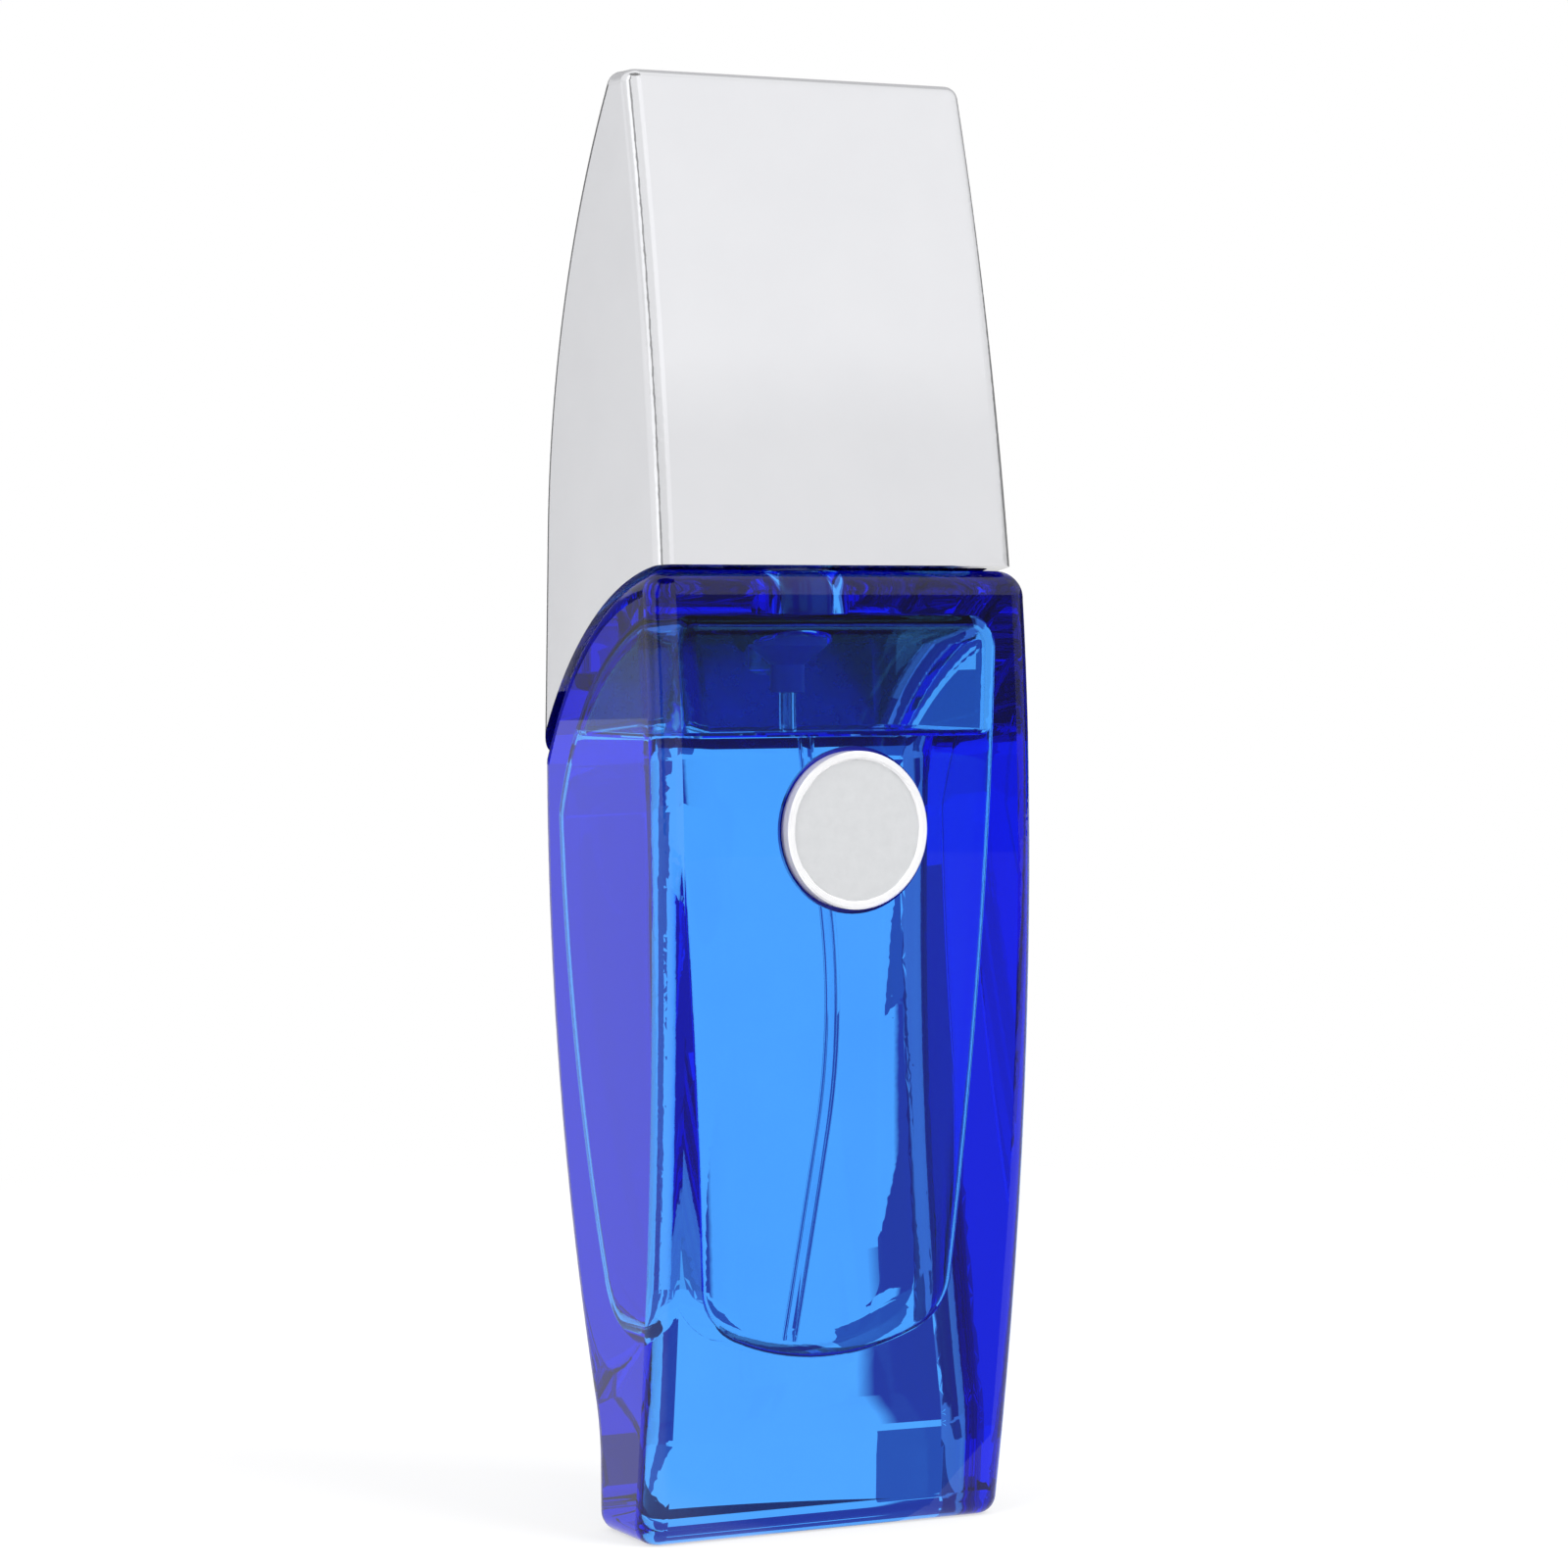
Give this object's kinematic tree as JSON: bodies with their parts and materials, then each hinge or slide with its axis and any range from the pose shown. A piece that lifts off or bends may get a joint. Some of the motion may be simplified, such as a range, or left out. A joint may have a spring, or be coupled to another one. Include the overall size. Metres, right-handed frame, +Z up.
{
  "type": "aftershave bottle",
  "caption": "Blue glass aftershave spray bottle with a heavy narrowing foot, a round metal medallion, a crimped pump with dip tube and a tall silver lift-off cap.",
  "frame": {"origin": "on the pump's axis, midway between the medallion's face and the back, at the resting foot", "axes": "+Z up along the pump's axis, -Y to the front that carries the medallion, +X to its right"},
  "size_m": [0.0466, 0.0352, 0.16],
  "materials": {
    "blue_glass": "clear polished glass, blue",
    "liquid": "clear liquid",
    "medallion_metal": "satin field in a polished rim",
    "adhesive_film": "thin bonding film",
    "gasket_rubber": "matte",
    "ferrule_metal": "bright drawn",
    "pump_plastic": "natural moulded",
    "piston_plastic": "waxy moulded",
    "spring_steel": "drawn wire",
    "ball_steel": "polished ball",
    "tube_plastic": "clear extruded",
    "collar_metal": "polished",
    "head_plastic": "moulded",
    "cap_silver": "metallised silver, polished",
    "insert_plastic": "moulded"
  },
  "bodies": {
    "bottle": {"glass_bottle": "blue_glass", "aftershave_liquid": "liquid", "medallion_disc": "medallion_metal", "medallion_adhesive": "adhesive_film", "neck_gasket": "gasket_rubber", "crimp_ferrule": "ferrule_metal", "pump_housing": "pump_plastic", "stem_guide": "pump_plastic", "stem_seal": "gasket_rubber", "return_spring": "spring_steel", "dip_tube": "tube_plastic", "collar_liner": "pump_plastic", "collar_sleeve": "collar_metal"},
    "stem": {"pump_stem": "pump_plastic", "pump_piston": "piston_plastic"},
    "spray_head": {"head_core": "head_plastic", "head_shell": "collar_metal", "nozzle_insert": "head_plastic"},
    "ball": {"inlet_ball": "ball_steel"},
    "cap": {"cap_shell": "cap_silver", "cap_insert": "insert_plastic"}
  },
  "joints": [
    {"name": "cap_lift", "type": "slide", "parent": "bottle", "child": "cap", "axis": [0, 0, 1], "range_m": [0, 0.05]},
    {"name": "stem_press", "type": "slide", "parent": "bottle", "child": "stem", "axis": [0, 0, -1], "range_m": [0, 0.0042], "stiffness_N_per_m": 1500, "springref_m": -0.002, "deforming": ["return_spring"]},
    {"name": "head_turn", "type": "hinge", "parent": "stem", "child": "spray_head", "pos_m": [0, 0, 0.126], "axis": [0, 0, 1], "continuous": true},
    {"name": "ball_lift", "type": "slide", "parent": "bottle", "child": "ball", "axis": [0, 0, 1], "range_m": [0, 0.0007]}
  ]
}
